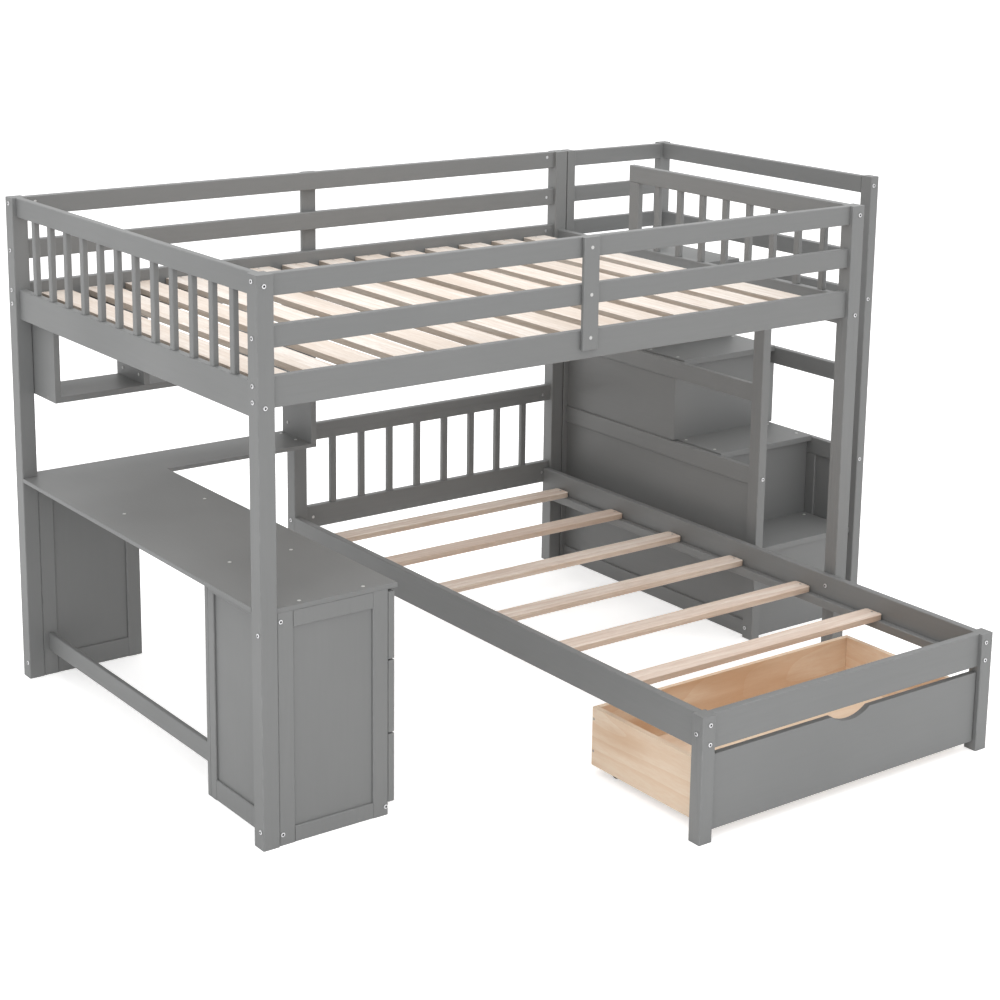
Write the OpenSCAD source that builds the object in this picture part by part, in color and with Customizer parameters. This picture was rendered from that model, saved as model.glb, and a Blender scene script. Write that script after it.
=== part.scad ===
// Loft bed with an L-shaped desk, a crossways lower bunk and a stair tower, in millimetres.
// +X runs along the loft towards the stairs, +Y from the lower bunk's foot to the back, +Z up.
// Lengths below are measured from the loft's near left corner; place() moves that to the frame.

/* [Loft bed] */
// length of the loft over its posts
loft_length = 2014; // [1990:2:2060]
// width of the loft over its posts
loft_width = 1440; // [1430:2:1470]
// height of the loft's posts
loft_height = 1458; // [1440:2:1500]
// side of the square loft posts
post = 47; // [45:1:49]
// thickness of every bed rail
rail = 22; // [20:1:23]
// height of the two guard rails
guard_rail_height = 55; // [50:1:60]
// drop from the posts' tops to the underside of the loft's side rails
guard_drop = 328; // [310:2:340]
// height of the loft's side rails
side_rail_height = 78; // [74:1:84]
// slats of the loft
loft_slat_count = 14; // [12:1:15]
// width of one loft slat
loft_slat_width = 90; // [80:1:94]
// spindles in the loft's left end
left_spindle_count = 12; // [10:1:13]
// spindles in the loft's right end
right_spindle_count = 8; // [6:1:8]

/* [Lower bed] */
// distance from the loft's left to the lower bed's left side
lower_left = 912; // [908:1:918]
// how far the lower bed stands out in front of the loft
lower_reach = 596; // [590:1:620]
// side of the two foot posts
foot_post = 43; // [41:1:46]
// height of the foot posts and of the lower side rails
lower_height = 344; // [342:1:350]
// height of the lower bed's side and foot rails
lower_rail_height = 96; // [92:1:100]
// slats of the lower bed
lower_slat_count = 6; // [4:1:9]
// spindles in the headboard
head_spindle_count = 8; // [6:1:9]

/* [Desk] */
// height of the desk's upper face
desk_height = 627; // [624:1:632]
// thickness of the desk top
desk_board = 12; // [10:1:16]
// depth of the desk along the loft's left end
desk_depth = 400; // [396:1:410]
// depth of the wing along the back
wing_depth = 190; // [180:2:210]
// width of a pedestal frame's stile
stile = 46; // [40:1:50]
// thickness of every cabinet board
board = 18; // [16:1:19]
// how far a desk drawer opens
desk_drawer_travel = 240; // [200:5:250]

/* [Stairs] */
// rise from one tread to the next
stair_rise = 270; // [264:1:272]
// height of the first tread
first_tread = 296; // [290:1:300]
// depth from one nosing to the next
stair_going = 192; // [186:1:196]
// width of the stair tower
stair_width = 472; // [460:2:500]

/* [Drawer under the lower bed] */
// height of the rolling drawer's front
roll_front_height = 205; // [195:1:210]
// depth of the rolling drawer's box
roll_box_depth = 470; // [430:5:520]
// radius of its wheels
wheel_radius = 17; // [15:0.5:18]
// width of the hand cut-out
cutout_width = 140; // [110:2:170]
// depth of the hand cut-out
cutout_depth = 23; // [18:1:28]

/* [Hidden] */
$fn = 14;
ease = 2;               // eased long edges of the sticks
fit = 0.3;              // clearance round tenons, panels and bolts
glue = 0.1;             // glue line between the pieces of one frame or box
recess = 12.5;          // rails sit back this far from the posts' outer faces
tenon = 10;             // spindle ends enter the rails this far
spindle = 22;
spindle_deep = 16;
slat = 18;
cleat = 21;
cleat_height = 27;
tenon_side = 12;        // section of a spindle's tenon
panel = 6;
groove = 7;             // panels enter their frames this far
bolt_hole = 6.6;
bolt = 6;
bolt_head = 12;
bolt_head_high = 2.5;
bolt_reach = 30;        // the bolt's end lies this far inside the rail
nut = 10;
nut_long = 15;
tower_gap = 4;          // leaves room for the bolt heads between loft and stairs

// loft
side_rail_bottom = loft_height - guard_drop;
top_rail_bottom = loft_height - guard_rail_height;
mid_rail_drop = 126;    // from the top guard rail's underside to the middle one's
mid_rail_bottom = top_rail_bottom - mid_rail_drop;
end_low_rail = side_rail_bottom - 27;
end_low_high = 88;
end_bolt_in = 7;        // the ends' bolts enter their rails this far behind the outer face
entry = 466;            // the loft's right end is open this far from the back, stile included
stile_y = loft_width - entry;
loft_slat_top = side_rail_bottom + cleat_height + slat;
batten_low = side_rail_bottom + 25;
rail_len = loft_length - 2 * post;
rear_rail_y = loft_width - recess - rail;
left_rail_x = recess;
right_rail_x = loft_length - recess - rail;

// lower bed
left_rail_lx = lower_left + 13;
right_rail_lx = loft_length - post - rail;
head_post_x = left_rail_lx;
foot_right_x = right_rail_lx - 4;
foot_y = -lower_reach;
foot_rail_y = foot_y + recess;
side_rail_y0 = foot_y + foot_post;
lower_rail_z = lower_height - lower_rail_height;
head_low_z = 294;
head_low_high = 74;
head_top_z = 588;
lower_slat_z = lower_rail_z + cleat_height;
lower_slat_width = 64;
first_slat_in = 364;    // from the foot posts to the middle of the first slat
last_slat_in = 116;     // from the middle of the last slat to the headboard

// desk
under_desk = desk_height - desk_board;
wing_y = loft_width - wing_depth;
wing_end = head_post_x - tower_gap;
batten_y = 894;         // near side of the batten under the desk top
cab_x = post + 1;
cab_y = 4;
cab_long = 324;
cab_deep = 372;
front_gap = 4;
front_low = 34;
top_gap = 8;            // from the top drawer front to the desk top
low_front = 188;
middle_front = 196;
front_z = [front_low, front_low + low_front + front_gap, front_low + low_front + middle_front + 2 * front_gap];
front_heights = [low_front, middle_front, under_desk - top_gap - front_z[2]];
bottom_z = 15;          // underside of the pedestal's bottom
bottom_board = 15;
box_wall = 12;
box_bottom = 4;
runner = 14;
hutch_y = wing_y;
hutch_deep = loft_width - recess - hutch_y;
shelf_above_desk = 250;
hutch_z = desk_height + shelf_above_desk;
hutch_top = side_rail_bottom - 2;
divider_x = [330, 725];

// stair tower
tx = loft_length + tower_gap;
tx1 = tx + stair_width;
stair_post_x = 33;
stair_post_y = 46;
ty = 400;
ty1 = loft_width;
tread_x0 = tx + stair_post_x;
tread_x1 = tx1 - stair_post_x;
wall = 20;
tower_y0 = ty + stair_post_y;
tower_y1 = ty1 - stair_post_y;
level_rail = 57;        // height of the rails beside the treads
rail_under = 5;         // their tops lie this far below the treads
nosing = 21;            // a tread stands out this far in front of the riser under it
first_nosing = 6;       // the lowest riser sits further forward, held by its bolt
first_nose = ty + 18;
wall_stile = 40;        // upright in the outer wall, in front of the second riser
plinth = 50;            // height of the tower's bottom rails
platform_rail = 54;     // height of the rails beside the platform
platform_under = 15;    // their tops lie this far below it
guard_above = 54;       // from the platform up to the lower guard rail

// rolling drawer
roll_x0 = lower_left + foot_post + 3;
roll_x1 = foot_right_x - 3;
roll_z = 27;
roll_y1 = foot_rail_y + board;
roll_box_x0 = roll_x0 + 7;
roll_box_x1 = roll_x1 - 8;
roll_box_z = 25;
roll_box_high = 168;
roll_wall = 15;
roll_floor = 6;
roll_floor_z = roll_box_z + 26;
wheel_wide = 12;
wheel_y = [roll_y1 + 60, roll_y1 + roll_box_depth - 66];
wheel_x = [roll_box_x0 + roll_wall + 14, roll_box_x1 - roll_wall - 14 - wheel_wide];
plate = 2;
axle = 5;
axle_fit = 0.1;         // radial clearance of a wheel on its axle

function levels(k) = first_tread + k * stair_rise;
platform_rail_z = levels(3) - platform_under - platform_rail;
function nose(k) = first_nose + k * stair_going;
function riser_y(k) = nose(k) + (k == 0 ? first_nosing : nosing);
function spread(n, from, to, k) = from + (to - from) * (k + 1) / (n + 1);
function eased(a, b) = [[ease, 0], [a - ease, 0], [a, ease], [a, b - ease],
                        [a - ease, b], [ease, b], [0, b - ease], [0, ease]];

// directions a bolt can point
XP = [0, 90, 0];
XM = [0, -90, 0];
YP = [-90, 0, 0];
YM = [90, 0, 0];
ZM = [180, 0, 0];

module place() translate([(bolt_head_high - tx1) / 2, (lower_reach - loft_width) / 2, 0]) children();

// sticks with eased long edges, running along X, Y or Z
module along_x(at, s) translate(at) rotate([90, 0, 90]) linear_extrude(s[0]) polygon(eased(s[1], s[2]));
module along_y(at, s)
    translate(at + [0, s[1], 0]) rotate([90, 0, 0]) linear_extrude(s[1]) polygon(eased(s[0], s[2]));
module along_z(at, s) translate(at) linear_extrude(s[2]) polygon(eased(s[0], s[1]));
module block(at, s) translate(at) cube(s);

// a joint is [point on the outer face, direction, thickness passed, direction of the nut or 0]
module bolt_at(j) {
    reach = j[2] + bolt_reach - (j[3] == 0 ? 0 : nut / 2 + fit);
    translate(j[0]) rotate(j[1]) {
        translate([0, 0, -bolt_head_high]) cylinder(d = bolt_head, h = bolt_head_high);
        cylinder(d = bolt, h = reach);
    }
}
module bolt_bore(j)
    translate(j[0]) rotate(j[1]) translate([0, 0, -1]) cylinder(d = bolt_hole, h = j[2] + bolt_reach + 1 + fit);
module nut_shape(j, grow)
    translate(j[0]) rotate(j[1]) translate([0, 0, j[2] + bolt_reach]) rotate(-j[1]) rotate(j[3])
        translate([0, 0, -rail / 2 - grow]) cylinder(d = nut + 2 * grow, h = nut_long + 2 * grow);
module joinery(list) for (j = list) {
    bolt_bore(j);
    if (j[3] != 0) nut_shape(j, fit / 2);
}

// heights of the bolts that hold the loft's long rails and its ends
long_bolt_z = [loft_height - 17, mid_rail_bottom + 27, side_rail_bottom + 58, side_rail_bottom + 18];
front_c = recess + rail / 2;
rear_c = loft_width - front_c;
left_c = front_c;
right_c = loft_length - front_c;

function long_joints(x, y, dir, side) = [for (z = long_bolt_z) [[x, y, z], dir, post, side]];
front_left_joints = long_joints(0, front_c, XP, YM);
front_right_joints = long_joints(loft_length, front_c, XM, YM);
rear_left_joints = long_joints(0, rear_c, XP, YP);
rear_right_joints = long_joints(loft_length, rear_c, XM, YP);
end_bolt_z = [loft_height - 27, end_low_rail + 33];
left_bolt_x = left_rail_x + end_bolt_in;
right_bolt_x = right_rail_x + rail - end_bolt_in;
left_front_ends = [for (z = end_bolt_z) [[left_bolt_x, 0, z], YP, post, 0]];
left_rear_ends = [for (z = end_bolt_z) [[left_bolt_x, loft_width, z], YM, post, 0]];
right_front_ends = [for (z = end_bolt_z) [[right_bolt_x, 0, z], YP, post, 0]];
right_rear_ends = [[[right_bolt_x, loft_width, end_bolt_z[1]], YM, post, 0]];

foot_side_z = [lower_height - 24, lower_height - 76];
foot_left_joints = [for (z = foot_side_z) [[left_rail_lx + rail / 2, foot_y, z], YP, foot_post, 0]];
foot_right_joints = [for (z = foot_side_z) [[right_rail_lx + rail / 2, foot_y, z], YP, foot_post, 0]];
foot_rail_joints = [
    [[lower_left, foot_rail_y + rail / 2, lower_height - 50], XP, foot_post, 0],
    [[foot_right_x + foot_post, foot_rail_y + rail / 2, lower_height - 50], XM, foot_post, 0]];
head_left_joints = [for (z = [head_low_z + 36, head_top_z + 22]) [[head_post_x, rear_c, z], XP, post, YP]];
head_right_joints = [for (z = [head_low_z + 36, head_top_z + 22]) [[loft_length, rear_c, z], XM, post, YP]];
head_rail_joints = [[[head_post_x + rail / 2, loft_width, lower_height - 24], YM, post, 0]];
side_to_loft = [[[right_rail_lx, post / 3, lower_height - 33], XP, rail, 0]];

stair_c = wall / 2;
stair_bolt_z = [loft_height - 28, platform_rail_z + platform_rail / 2, levels(1) - level_rail / 2 - rail_under];
stair_front_joints = concat(
    [for (z = stair_bolt_z) [[tx1 - stair_post_x + stair_c, ty, z], YP, stair_post_y, 0]],
    [[[tread_x0 - stair_c - 4, ty, stair_bolt_z[2]], YP, stair_post_y, 0]]);
riser_joint = [[[tx, riser_y(0) + board / 2, 34], XP, stair_post_x, 0]];
desk_joints = [for (z = [under_desk - 50, 48]) [[0, cab_y + board / 2, z], XP, post + 1, 0]];
leg_joint = [[[0, loft_width - post + board / 2 + 2, 48], XP, post + 1, 0]];
// bolts through the pedestal's side frames into its back frame and its bottom
pedestal_bolt_at = [[cab_x + board / 2, under_desk - 23], [cab_x + board / 2, 30],
                    [cab_x + cab_long - 8, bottom_z + bottom_board * 0.6]];
pedestal_joints = [for (side = [[cab_y, YP], [cab_y + cab_deep, YM]], b = pedestal_bolt_at)
    [[b[0], side[0], b[1]], side[1], board * 2 / 3, 0]];

all_joints = concat(front_left_joints, front_right_joints, rear_left_joints, rear_right_joints,
    left_front_ends, left_rear_ends, right_front_ends, right_rear_ends, foot_left_joints,
    foot_right_joints, foot_rail_joints, head_left_joints, head_right_joints, head_rail_joints,
    side_to_loft, stair_front_joints, riser_joint, desk_joints, leg_joint, pedestal_joints);
nut_joints = [for (j = all_joints) if (j[3] != 0) j];

grey = [0.56, 0.57, 0.57];
pine = [0.9, 0.8, 0.68];

// ---- loft ----
module loft_post(x, y, joints) color(grey) place() difference() {
    along_z([x, y, 0], [post, post, loft_height]);
    joinery(joints);
}
module loft_post_front_left() loft_post(0, 0, concat(front_left_joints, left_front_ends, desk_joints));
module loft_post_front_right()
    loft_post(loft_length - post, 0, concat(front_right_joints, right_front_ends, side_to_loft));
module loft_post_rear_left()
    loft_post(0, loft_width - post, concat(rear_left_joints, left_rear_ends, leg_joint));
module loft_post_rear_right() loft_post(loft_length - post, loft_width - post,
    concat(rear_right_joints, right_rear_ends, head_right_joints));

module long_rail(y, z, high, joints) difference() {
    along_x([post, y, z], [rail_len, rail, high]);
    joinery(joints);
}
module guard_pair(y, joints) for (k = [0, 1])
    long_rail(y, k == 0 ? top_rail_bottom : mid_rail_bottom, guard_rail_height, [for (s = joints) s[k]]);
module front_guard_rails() color(grey) place() guard_pair(recess, [front_left_joints, front_right_joints]);
module rear_guard_rails() color(grey) place() guard_pair(rear_rail_y, [rear_left_joints, rear_right_joints]);
module loft_side_rails() color(grey) place() {
    pairs = [[recess, front_left_joints, front_right_joints], [rear_rail_y, rear_left_joints, rear_right_joints]];
    for (p = pairs)
        long_rail(p[0], side_rail_bottom, side_rail_height, [p[1][2], p[1][3], p[2][2], p[2][3]]);
}
module guard_battens() color(grey) place() for (y = [0, loft_width - recess])
    along_z([loft_length / 2 - 26, y, batten_low], [52, recess, loft_height - batten_low]);

module spindle_post(x, y, z0, z1) {
    along_z([x - spindle_deep / 2, y - spindle / 2, z0], [spindle_deep, spindle, z1 - z0]);
    for (z = [z0 - tenon, z1])
        block([x - tenon_side / 2, y - tenon_side / 2, z], [tenon_side, tenon_side, tenon]);
}
module mortise(x, y, z, down)
    block([x - tenon_side / 2 - fit, y - tenon_side / 2 - fit, down ? z - tenon - fit : z - 1],
          [tenon_side + 2 * fit, tenon_side + 2 * fit, tenon + 1 + fit]);

end_low_top = end_low_rail + end_low_high;
left_spindles = [for (k = [0:left_spindle_count - 1]) spread(left_spindle_count, post, loft_width - post, k)];
module left_end_rails() color(grey) place() {
    difference() {
        along_y([left_rail_x, post, top_rail_bottom], [rail, loft_width - 2 * post, guard_rail_height]);
        joinery([left_front_ends[0], left_rear_ends[0]]);
        for (y = left_spindles) mortise(left_c, y, top_rail_bottom, false);
    }
    difference() {
        along_y([left_rail_x, post, end_low_rail], [rail, loft_width - 2 * post, end_low_high]);
        joinery([left_front_ends[1], left_rear_ends[1]]);
        for (y = left_spindles) mortise(left_c, y, end_low_top, true);
    }
}
module left_end_spindles() color(grey) place()
    for (y = left_spindles) spindle_post(left_c, y, end_low_top, top_rail_bottom);

right_spindles = [for (k = [0:right_spindle_count - 1]) spread(right_spindle_count, post - 18, stile_y + 18, k)];
module right_end_rails() color(grey) place() {
    difference() {
        along_y([right_rail_x, post, top_rail_bottom], [rail, stile_y + stile - post, guard_rail_height]);
        joinery([right_front_ends[0]]);
        for (y = right_spindles) mortise(right_c, y, top_rail_bottom, false);
    }
    difference() {
        along_y([right_rail_x, post, end_low_rail], [rail, loft_width - 2 * post, end_low_high]);
        joinery([right_front_ends[1], right_rear_ends[0]]);
        for (y = right_spindles) mortise(right_c, y, end_low_top, true);
    }
}
module right_end_stile() color(grey) place()
    along_z([right_rail_x, stile_y, end_low_top], [rail, stile, top_rail_bottom - end_low_top]);
module right_end_spindles() color(grey) place()
    for (y = right_spindles) spindle_post(right_c, y, end_low_top, top_rail_bottom);

module loft_slat_cleats() color(grey) place() for (y = [recess + rail, rear_rail_y - cleat])
    along_x([post + 2, y, side_rail_bottom], [rail_len - 4, cleat, cleat_height]);
slat_first = post + 35;
slat_step = (loft_length - post - 38 - loft_slat_width - slat_first) / (loft_slat_count - 1);
module loft_slats() color(pine) place() for (k = [0:loft_slat_count - 1])
    along_y([slat_first + k * slat_step, recess + rail + 2, loft_slat_top - slat],
            [loft_slat_width, rear_rail_y - recess - rail - 4, slat]);

// ---- lower bed ----
module lower_foot_posts() color(grey) place() {
    difference() {
        along_z([lower_left, foot_y, 0], [foot_post, foot_post, lower_height]);
        joinery(concat(foot_left_joints, foot_rail_joints));
    }
    difference() {
        along_z([foot_right_x, foot_y, 0], [foot_post, foot_post, lower_height]);
        joinery(concat(foot_right_joints, foot_rail_joints));
    }
}
module lower_head_post() color(grey) place() difference() {
    along_z([head_post_x, loft_width - post, 0], [post, post, head_top_z + guard_rail_height]);
    joinery(concat(head_left_joints, head_rail_joints));
}
module lower_left_side_rail() color(grey) place() difference() {
    along_y([left_rail_lx, side_rail_y0, lower_rail_z],
            [rail, loft_width - post - side_rail_y0, lower_rail_height]);
    joinery(concat(foot_left_joints, head_rail_joints));
}
module lower_right_side_rail() color(grey) place() difference() {
    along_y([right_rail_lx, side_rail_y0, lower_rail_z],
            [rail, rear_rail_y - side_rail_y0, lower_rail_height]);
    joinery(concat(foot_right_joints, side_to_loft));
}
module lower_foot_rail() color(grey) place() difference() {
    along_x([lower_left + foot_post, foot_rail_y, lower_rail_z],
            [foot_right_x - lower_left - foot_post, rail, lower_rail_height]);
    joinery(foot_rail_joints);
}
head_x0 = head_post_x + post;
head_x1 = loft_length - post;
head_low_top = head_low_z + head_low_high;
head_spindles = [for (k = [0:head_spindle_count - 1]) spread(head_spindle_count, head_x0, head_x1, k)];
module head_rail(z, high, k, down) difference() {
    along_x([head_x0, rear_rail_y, z], [head_x1 - head_x0, rail, high]);
    joinery([head_left_joints[k], head_right_joints[k]]);
    for (x = head_spindles) mortise(x, rear_c, down ? z + high : z, down);
}
module headboard_rails() color(grey) place() {
    head_rail(head_low_z, head_low_high, 0, true);
    head_rail(head_top_z, guard_rail_height, 1, false);
}
module headboard_spindles() color(grey) place() for (x = head_spindles)
    translate([x, rear_c, 0]) rotate([0, 0, 90]) spindle_post(0, 0, head_low_top, head_top_z);
lower_in_x0 = left_rail_lx + rail;
module lower_slat_cleats() color(grey) place() for (x = [lower_in_x0, right_rail_lx - cleat])
    along_y([x, side_rail_y0 + 20, lower_rail_z], [cleat, rear_rail_y - side_rail_y0 - 60, cleat_height]);
first_slat_y = side_rail_y0 + first_slat_in;
last_slat_y = rear_rail_y - last_slat_in;
slat_ys = [for (k = [0:lower_slat_count - 1])
    first_slat_y + k * (last_slat_y - first_slat_y) / (lower_slat_count - 1)];
module round_ended_slat(x0, x1, y) {
    r = 9;
    translate([0, y - lower_slat_width / 2, lower_slat_z]) linear_extrude(slat) {
        translate([x0 + r, 0]) square([x1 - x0 - 2 * r, lower_slat_width]);
        translate([x0, r]) square([x1 - x0, lower_slat_width - 2 * r]);
        for (x = [x0 + r, x1 - r], dy = [r, lower_slat_width - r]) translate([x, dy]) circle(r);
    }
}
module lower_slats() color(pine) place()
    for (y = slat_ys) round_ended_slat(lower_in_x0 + 2, right_rail_lx - 2, y);

// ---- desk ----
// the L-shaped top is notched round the two loft posts
notch = post + 1;
module desk_top() color(grey) place()
    translate([0, 0, under_desk]) linear_extrude(desk_board) polygon([
        [notch, cab_y], [desk_depth, cab_y], [desk_depth, wing_y], [wing_end, wing_y],
        [wing_end, loft_width], [notch, loft_width], [notch, loft_width - notch],
        [0, loft_width - notch], [0, notch], [notch, notch]]);
module desk_cross_batten() color(grey) place()
    along_x([post + 12, batten_y, under_desk - 20], [desk_depth - post - 34, 40, 20]);

// a frame in the XZ plane: two stiles and two rails grooved for a panel
module frame_xz(at, w, h, side, low, high, t) {
    seat = [at[0] + side - groove, at[1] + (t - panel) / 2 - fit / 2, at[2] + low - groove];
    difference() {
        along_z(at, [side, t, h]);
        block(seat, [groove + 1, panel + fit, h - low - high + 2 * groove]);
    }
    difference() {
        along_z(at + [w - side, 0, 0], [side, t, h]);
        block([at[0] + w - side - 1, seat[1], seat[2]], [groove + 1, panel + fit, h - low - high + 2 * groove]);
    }
    difference() {
        along_x(at + [side + glue, 0, 0], [w - 2 * (side + glue), t, low]);
        block([at[0] + side - 1, seat[1], seat[2]], [w - 2 * side + 2, panel + fit, groove + 1]);
    }
    difference() {
        along_x(at + [side + glue, 0, h - high], [w - 2 * (side + glue), t, high]);
        block([at[0] + side - 1, seat[1], at[2] + h - high - 1], [w - 2 * side + 2, panel + fit, groove + 1]);
    }
}
module panel_xz(at, w, h, side, low, high, t)
    block([at[0] + side - groove + fit, at[1] + (t - panel) / 2, at[2] + low - groove + fit],
          [w - 2 * side + 2 * (groove - fit), panel, h - low - high + 2 * (groove - fit)]);
leg_at = [cab_x, loft_width - post + 2, 0];
leg_wide = 325;
module desk_leg_frame() color(grey) place() difference() {
    frame_xz(leg_at, leg_wide, under_desk, stile, 62, 44, board);
    joinery(leg_joint);
}
module desk_leg_panel() color(grey) place() panel_xz(leg_at, leg_wide, under_desk, stile, 62, 44, board);
module desk_stretcher() color(grey) place()
    along_y([cab_x + 16, cab_y + cab_deep, 78], [15, leg_at[1] - cab_y - cab_deep, 56]);

cab_far = cab_y + cab_deep - board;
module pedestal_side_frames() color(grey) place() difference() {
    for (y = [cab_y, cab_far]) frame_xz([cab_x, y, 0], cab_long, under_desk, stile, 43, 44, board);
    joinery(concat(desk_joints, pedestal_joints));
}
module pedestal_side_panels() color(grey) place()
    for (y = [cab_y, cab_far]) panel_xz([cab_x, y, 0], cab_long, under_desk, stile, 43, 44, board);
// the back frame is the same kind of frame, turned to face the loft's left end
module turned() translate([cab_x + board, cab_y + board, 0]) rotate([0, 0, 90]) children();
back_wide = cab_deep - 2 * board;
module pedestal_back_frame() color(grey) place() difference() {
    turned() frame_xz([0, 0, 0], back_wide, under_desk, 30, 58, 44, board);
    joinery(pedestal_joints);
}
module pedestal_back_panel() color(grey) place()
    turned() panel_xz([0, 0, 0], back_wide, under_desk, 30, 58, 44, board);
module pedestal_bottom() color(grey) place() difference() {
    block([cab_x + board, cab_y + board, bottom_z], [cab_long - board - 1, back_wide, bottom_board]);
    joinery(pedestal_joints);
}
module drawer_runners() color(pine) place() for (z = front_z, y = [cab_y + board, cab_far - runner])
    block([cab_x + board, y, z - 3], [cab_long - board - 22, runner, 12.5]);

box_y0 = cab_y + board + 3;
box_y1 = cab_far - 3;
box_x0 = cab_x + board + 6;
front_x = cab_x + cab_long + 0.5;
box_x1 = front_x;
module drawer_box(k) {
    z = front_z[k] + 10;
    h = front_heights[k] - 34;
    bottom = [[box_x0 + box_wall - 5, box_y0 + box_wall - 5, z + 8],
              [box_x1 - box_x0 - 2 * box_wall + 10, box_y1 - box_y0 - 2 * box_wall + 10, box_bottom]];
    difference() {
        for (y = [box_y0, box_y1 - box_wall])
            block([box_x0, y, z], [box_x1 - box_x0, box_wall, h]);
        translate([0, 0, -fit / 2]) block(bottom[0] - [fit, fit, 0], bottom[1] + [2 * fit, 2 * fit, fit]);
    }
    difference() {
        for (x = [box_x0, box_x1 - box_wall])
            block([x, box_y0 + box_wall + glue, z], [box_wall, box_y1 - box_y0 - 2 * (box_wall + glue), h]);
        translate([0, 0, -fit / 2]) block(bottom[0] - [fit, fit, 0], bottom[1] + [2 * fit, 2 * fit, fit]);
    }
    block(bottom[0], bottom[1]);
}
module drawer_front(k) {
    r = 34;
    translate([front_x, cab_y, front_z[k]]) rotate([90, 0, 90]) linear_extrude(board) difference() {
        square([cab_deep, front_heights[k]]);
        translate([cab_deep / 2, front_heights[k] + r - 20]) circle(r, $fn = 40);
    }
}
module desk_drawer_front_top() color(grey) place() drawer_front(2);
module desk_drawer_box_top() color(pine) place() drawer_box(2);
module desk_drawer_front_middle() color(grey) place() drawer_front(1);
module desk_drawer_box_middle() color(pine) place() drawer_box(1);
module desk_drawer_front_bottom() color(grey) place() drawer_front(0);
module desk_drawer_box_bottom() color(pine) place() drawer_box(0);

// ---- shelves over the desk ----
module hutch_end_boards() color(grey) place() {
    block([post + 1, hutch_y, hutch_z], [board, hutch_deep, hutch_top - hutch_z]);
    block([wing_end - board, hutch_y, desk_height], [board, hutch_deep, hutch_top - desk_height]);
}
shelf_x0 = post + 1 + board;
shelf_x1 = wing_end - board;
module hutch_shelves() color(grey) place() for (z = [hutch_z, hutch_top - board])
    block([shelf_x0, hutch_y, z], [shelf_x1 - shelf_x0, hutch_deep, board]);
module hutch_dividers() color(grey) place() for (x = divider_x)
    block([x, hutch_y, hutch_z + board], [board, hutch_deep, hutch_top - hutch_z - 2 * board]);

// ---- rolling drawer ----
module rolling_drawer_front() color(grey) place() {
    w = roll_x1 - roll_x0;
    big = (cutout_width * cutout_width / 4 + cutout_depth * cutout_depth) / (2 * cutout_depth);
    translate([roll_x0, roll_y1, roll_z]) rotate([90, 0, 0]) linear_extrude(board) difference() {
        square([w, roll_front_height]);
        translate([w / 2, roll_front_height + big - cutout_depth]) circle(big, $fn = 120);
    }
}
module rolling_drawer_box() color(pine) place() {
    w = roll_box_x1 - roll_box_x0;
    floor_at = [roll_box_x0 + roll_wall - 6, roll_y1 + roll_wall - 6, roll_floor_z];
    floor_size = [w - 2 * roll_wall + 12, roll_box_depth - 2 * roll_wall + 12, roll_floor];
    difference() {
        for (x = [roll_box_x0, roll_box_x1 - roll_wall])
            block([x, roll_y1, roll_box_z], [roll_wall, roll_box_depth, roll_box_high]);
        block(floor_at - [fit, fit, fit / 2], floor_size + [2 * fit, 2 * fit, fit]);
    }
    difference() {
        for (y = [roll_y1, roll_y1 + roll_box_depth - roll_wall])
            block([roll_box_x0 + roll_wall + glue, y, roll_box_z],
                  [w - 2 * (roll_wall + glue), roll_wall, roll_box_high]);
        block(floor_at - [fit, fit, fit / 2], floor_size + [2 * fit, 2 * fit, fit]);
    }
    block(floor_at, floor_size);
}
module caster_brackets() color([0.7, 0.7, 0.7]) place() for (x = wheel_x, y = wheel_y) {
    top = roll_floor_z - plate;
    block([x - 8, y - 20, top], [wheel_wide + 16, 40, plate]);
    difference() {
        for (dx = [-4, wheel_wide + 2])
            block([x + dx, y - 8, wheel_radius - 6], [plate, 16, top - wheel_radius + 6]);
        translate([x - 5, y, wheel_radius]) rotate(XP) cylinder(d = axle + 2 * axle_fit, h = wheel_wide + 10);
    }
}
module caster_axles() color([0.7, 0.7, 0.7]) place() for (x = wheel_x, y = wheel_y)
    translate([x - 4.5, y, wheel_radius]) rotate(XP) cylinder(d = axle, h = wheel_wide + 9);
module wheels(y) for (x = wheel_x) translate([x, y, wheel_radius]) rotate(XP) difference() {
    cylinder(r = wheel_radius, h = wheel_wide, $fn = 40);
    translate([0, 0, -1]) cylinder(d = axle + 2 * axle_fit, h = wheel_wide + 2);
}
module caster_wheels_front() color([0.15, 0.15, 0.16]) place() wheels(wheel_y[0]);
module caster_wheels_rear() color([0.15, 0.15, 0.16]) place() wheels(wheel_y[1]);

// ---- stair tower ----
module stair_front_posts() color(grey) place() {
    difference() {
        along_z([tx, ty, 0], [stair_post_x, stair_post_y, levels(3)]);
        joinery(concat(stair_front_joints, riser_joint));
    }
    difference() {
        along_z([tx1 - stair_post_x, ty, 0], [stair_post_x, stair_post_y, loft_height]);
        joinery(stair_front_joints);
    }
}
module stair_rear_posts() color(grey) place() {
    along_z([tx, tower_y1, 0], [stair_post_x, stair_post_y, loft_height]);
    along_z([tx1 - stair_post_y, ty1 - stair_post_x, 0], [stair_post_y, stair_post_x, loft_height]);
}
rear_rail_z = [top_rail_bottom, mid_rail_bottom + 3, side_rail_bottom + 33];
module stair_rear_rails() color(grey) place() for (z = rear_rail_z)
    along_x([tread_x0, ty1 - stair_post_x, z], [tx1 - stair_post_y - tread_x0, wall, guard_rail_height - 3]);
right_wall_x = tx1 - stair_post_x;
right_wall_len = ty1 - stair_post_x - tower_y0;
module stair_guard_rails() color(grey) place() difference() {
    for (z = [top_rail_bottom, levels(3) + guard_above])
        along_y([right_wall_x, tower_y0, z], [wall, right_wall_len, guard_rail_height - 1]);
    joinery(stair_front_joints);
}
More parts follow.
